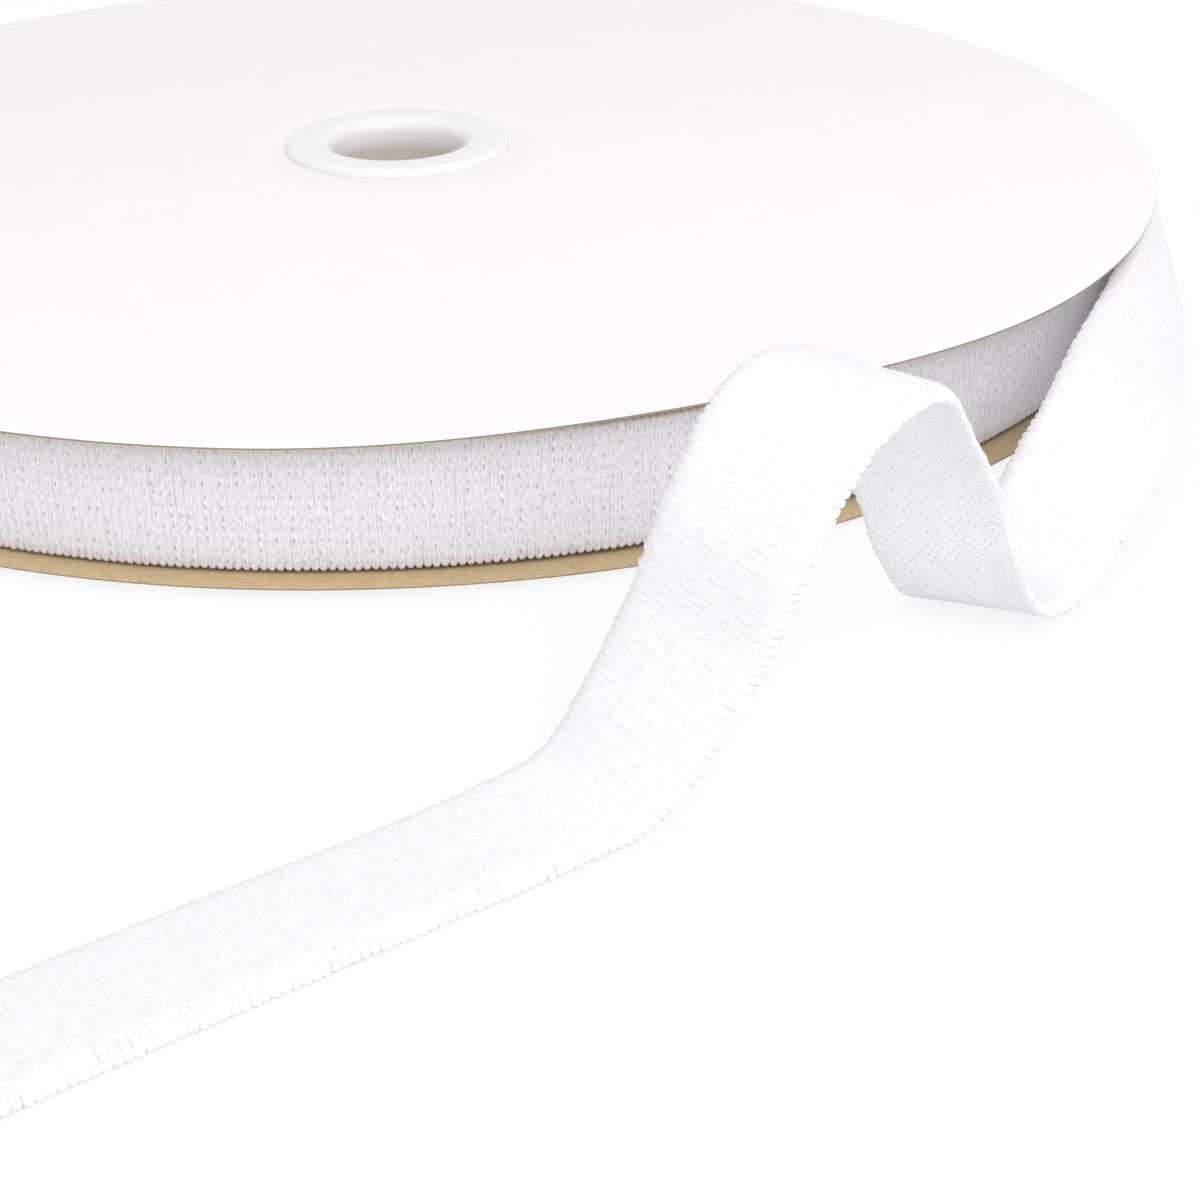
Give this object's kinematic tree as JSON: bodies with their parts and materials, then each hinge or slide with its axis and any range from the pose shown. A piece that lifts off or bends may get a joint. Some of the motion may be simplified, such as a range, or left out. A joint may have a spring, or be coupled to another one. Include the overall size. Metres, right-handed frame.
{
  "type": "hook and loop tape roll",
  "caption": "Card-flanged reel of white pile tape on a moulded snap hub with an open bore, its free end drawn out in a wave along the table.",
  "frame": {"origin": "on the reel's axis, at the surface that the lower hub lip stands on", "axes": "+Z along the reel's axis, upwards as the reel lies; -Y towards the viewer of the picture; the free end leaves at +X"},
  "size_m": [0.2834, 0.3914, 0.0503],
  "materials": {
    "white_board": "white-lined card, kraft brown on the inner face and edge",
    "white_moulding": "satin moulded polypropylene, slightly translucent",
    "kraft_card": "plain spiral-wound card",
    "pile_tape": "white loop pile with crosswise ribs and looped edges, knitted back"
  },
  "bodies": {
    "reel": {"lower_flange": "white_board", "upper_flange": "white_board", "hub_lower": "white_moulding", "hub_upper": "white_moulding", "core_tube": "kraft_card", "wound_tape": "pile_tape"},
    "free_tape": {"outer_turn": "pile_tape", "tape_tail": "pile_tape"}
  },
  "joints": [
    {"name": "payout_turn", "type": "hinge", "parent": "reel", "child": "free_tape", "pos_m": [0, 0, 0.0124], "axis": [0, 0, 1], "continuous": true}
  ]
}
